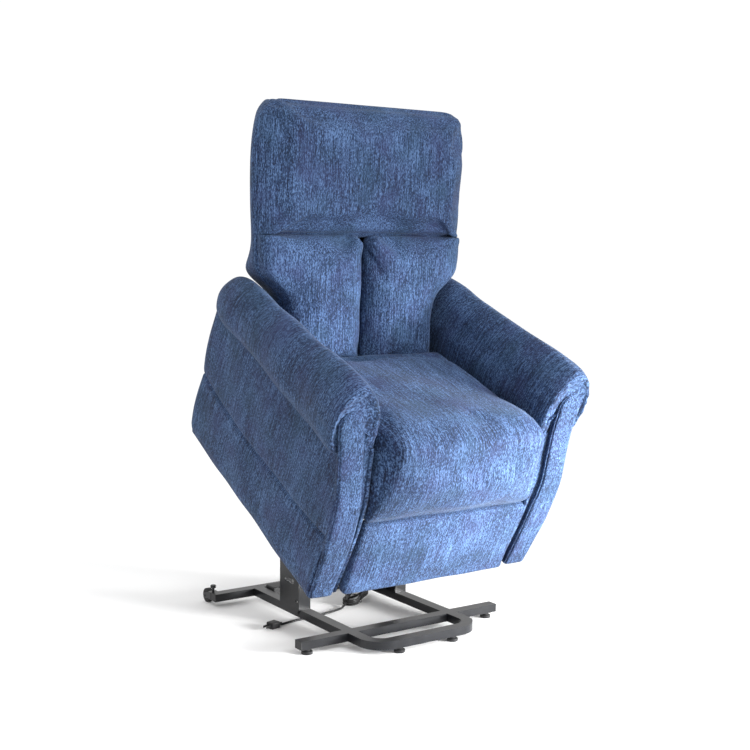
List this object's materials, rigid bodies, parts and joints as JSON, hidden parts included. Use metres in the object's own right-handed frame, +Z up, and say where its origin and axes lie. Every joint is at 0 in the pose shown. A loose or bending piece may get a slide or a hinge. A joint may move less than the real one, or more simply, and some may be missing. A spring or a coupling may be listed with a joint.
{
  "type": "lift recliner chair",
  "caption": "Power lift recliner armchair, raised: rolled arms, blue upholstery, legrest, reclining back, on a black steel lift base with its mains lead.",
  "frame": {"origin": "on the floor under the centre of the raised chair's bounding box, the mains lead left out", "axes": "+Z up; +X across the chair towards the sitter's left; +Y towards the rear, so the chair faces -Y"},
  "size_m": [0.836, 0.9816, 1.5336],
  "materials": {
    "base_steel": "satin black paint",
    "mechanism_steel": "black powder coat",
    "pins": "zinc plated",
    "ram_steel": "polished",
    "guide_tube": "anodised",
    "motor_plastic": "fine grain",
    "glide_plastic": "moulded",
    "wheel_rubber": "matt",
    "supply_plastic": "fine grain",
    "cord_rubber": "smooth pvc",
    "tie": "soft",
    "frame_wood": "raw plywood and pine",
    "webbing": "woven elastic",
    "upholstery": "blue ribbed chenille",
    "handset_plastic": "fine grain",
    "button_plastic": "smooth"
  },
  "bodies": {
    "base": {"base_front_tube": "base_steel", "base_rear_tube": "base_steel", "base_side_rails": "base_steel", "base_front_loop": "base_steel", "levelling_feet": "glide_plastic", "tube_end_caps": "glide_plastic", "wheel_brackets": "base_steel", "base_uprights": "base_steel", "upright_pivot_pins": "pins", "power_supply": "supply_plastic", "cord_strain_relief": "cord_rubber", "mains_cord_rear": "cord_rubber", "mains_cord_front": "cord_rubber", "mains_cord_hank": "cord_rubber", "cord_tie": "tie", "mains_plug": "cord_rubber"},
    "wheel_left": {"transport_wheel_left": "wheel_rubber"},
    "wheel_right": {"transport_wheel_right": "wheel_rubber"},
    "lift_arms": {"lift_arms": "mechanism_steel", "lift_torque_tube": "mechanism_steel"},
    "stabilisers": {"stabiliser_links": "mechanism_steel"},
    "lift_actuator": {"lift_motor_housing": "motor_plastic", "lift_guide_tube": "guide_tube"},
    "lift_ram_body": {"lift_ram": "ram_steel"},
    "seat_body": {"mechanism_side_plates": "mechanism_steel", "chassis_cross_tubes": "mechanism_steel", "chassis_pivot_pins": "pins", "seat_frame_rails": "frame_wood", "seat_webbing": "webbing", "seat_cushion": "upholstery", "rear_panel": "upholstery", "arm_frame_left": "frame_wood", "arm_frame_right": "frame_wood", "arm_side_left": "upholstery", "arm_side_right": "upholstery", "arm_roll_left": "upholstery", "arm_roll_right": "upholstery", "arm_facings": "upholstery", "arm_spacer_bolts": "pins", "side_pocket": "upholstery"},
    "legrest_crank": {"legrest_crank_shaft": "mechanism_steel"},
    "legrest_links": {"legrest_upper_links": "mechanism_steel"},
    "legrest": {"legrest_board": "frame_wood", "legrest_brackets": "mechanism_steel", "legrest_pad": "upholstery"},
    "backrest": {"back_frame": "frame_wood", "back_hinge_brackets": "mechanism_steel", "headrest_pad": "upholstery", "lumbar_pad_left": "upholstery", "lumbar_pad_right": "upholstery", "back_shell": "upholstery"},
    "back_links": {"back_drive_links": "mechanism_steel"},
    "recline_actuator": {"recline_motor_housing": "motor_plastic", "recline_guide_tube": "guide_tube"},
    "recline_ram_body": {"recline_ram": "ram_steel"},
    "handset": {"handset_case": "handset_plastic"},
    "button_raise": {"button_raise": "button_plastic"},
    "button_lower": {"button_lower": "button_plastic"},
    "button_recline": {"button_recline": "button_plastic"},
    "button_upright": {"button_upright": "button_plastic"}
  },
  "joints": [
    {"name": "lift", "type": "hinge", "parent": "base", "child": "lift_arms", "pos_m": [0, 0.19583, 0.27], "axis": [1, 0, 0], "range_deg": [0, 40.64]},
    {"name": "seat_body_pivot", "type": "hinge", "parent": "lift_arms", "child": "seat_body", "pos_m": [0, -0.10332, 0.36674], "axis": [1, 0, 0], "range_deg": [-67.76, 0]},
    {"name": "stabiliser_swing", "type": "hinge", "parent": "base", "child": "stabilisers", "pos_m": [0, 0.13583, 0.19], "axis": [1, 0, 0], "range_deg": [0, 30.29]},
    {"name": "lift_actuator_swivel", "type": "hinge", "parent": "seat_body", "child": "lift_actuator", "pos_m": [0, 0.34981, 0.62272], "axis": [1, 0, 0], "range_deg": [-1.58, 0]},
    {"name": "lift_ram_travel", "type": "slide", "parent": "lift_actuator", "child": "lift_ram_body", "axis": [0, -0.7597, -0.6503], "range_m": [-0.12645, 0]},
    {"name": "recline", "type": "hinge", "parent": "seat_body", "child": "legrest_crank", "pos_m": [0, -0.23442, 0.44731], "axis": [-1, 0, 0], "range_deg": [0, 123.43]},
    {"name": "legrest_elbow", "type": "hinge", "parent": "legrest_crank", "child": "legrest_links", "pos_m": [0, -0.06971, 0.3526], "axis": [1, 0, 0], "range_deg": [0, 91.68]},
    {"name": "legrest_tilt", "type": "hinge", "parent": "legrest_links", "child": "legrest", "pos_m": [0, -0.25553, 0.31295], "axis": [-1, 0, 0], "range_deg": [0, 58.25]},
    {"name": "backrest_tilt", "type": "hinge", "parent": "seat_body", "child": "backrest", "pos_m": [0, 0.1966, 0.74651], "axis": [-1, 0, 0], "range_deg": [0, 30.02]},
    {"name": "back_drive", "type": "hinge", "parent": "legrest_crank", "child": "back_links", "pos_m": [0, -0.20343, 0.44667], "axis": [1, 0, 0], "range_deg": [0, 125.16]},
    {"name": "recline_actuator_swivel", "type": "hinge", "parent": "seat_body", "child": "recline_actuator", "pos_m": [0, 0.31348, 0.68276], "axis": [1, 0, 0], "range_deg": [0, 0.1578]},
    {"name": "recline_ram_travel", "type": "slide", "parent": "recline_actuator", "child": "recline_ram_body", "axis": [0, -0.896, -0.4441], "range_m": [0, 0.12338]},
    {"name": "handset_lift_out", "type": "slide", "parent": "seat_body", "child": "handset", "axis": [0, -0.4555, 0.8902], "range_m": [0, 0.12]},
    {"name": "button_raise_press", "type": "slide", "parent": "handset", "child": "button_raise", "axis": [-1, 0, 0], "range_m": [0, 0.0012], "stiffness_N_per_m": 400},
    {"name": "button_lower_press", "type": "slide", "parent": "handset", "child": "button_lower", "axis": [-1, 0, 0], "range_m": [0, 0.0012], "stiffness_N_per_m": 400},
    {"name": "button_recline_press", "type": "slide", "parent": "handset", "child": "button_recline", "axis": [-1, 0, 0], "range_m": [0, 0.0012], "stiffness_N_per_m": 400},
    {"name": "button_upright_press", "type": "slide", "parent": "handset", "child": "button_upright", "axis": [-1, 0, 0], "range_m": [0, 0.0012], "stiffness_N_per_m": 400},
    {"name": "wheel_left_spin", "type": "hinge", "parent": "base", "child": "wheel_left", "pos_m": [0, 0.46883, 0.022], "axis": [1, 0, 0], "continuous": true},
    {"name": "wheel_right_spin", "type": "hinge", "parent": "base", "child": "wheel_right", "pos_m": [0, 0.46883, 0.022], "axis": [1, 0, 0], "continuous": true}
  ],
  "couplings": [
    {"joint": "seat_body_pivot", "follows": "lift", "ratio": -1.6668},
    {"joint": "stabiliser_swing", "follows": "lift", "ratio": 0.74486},
    {"joint": "lift_actuator_swivel", "follows": "lift", "ratio": -0.038353},
    {"joint": "lift_ram_travel", "follows": "lift", "m_per_rad": -0.17812},
    {"joint": "legrest_elbow", "follows": "recline", "ratio": 0.74261},
    {"joint": "legrest_tilt", "follows": "recline", "ratio": 0.47175},
    {"joint": "backrest_tilt", "follows": "recline", "ratio": 0.24305},
    {"joint": "back_drive", "follows": "recline", "ratio": 1.0139},
    {"joint": "recline_actuator_swivel", "follows": "recline", "ratio": 0.0011162},
    {"joint": "recline_ram_travel", "follows": "recline", "m_per_rad": 0.057224}
  ]
}
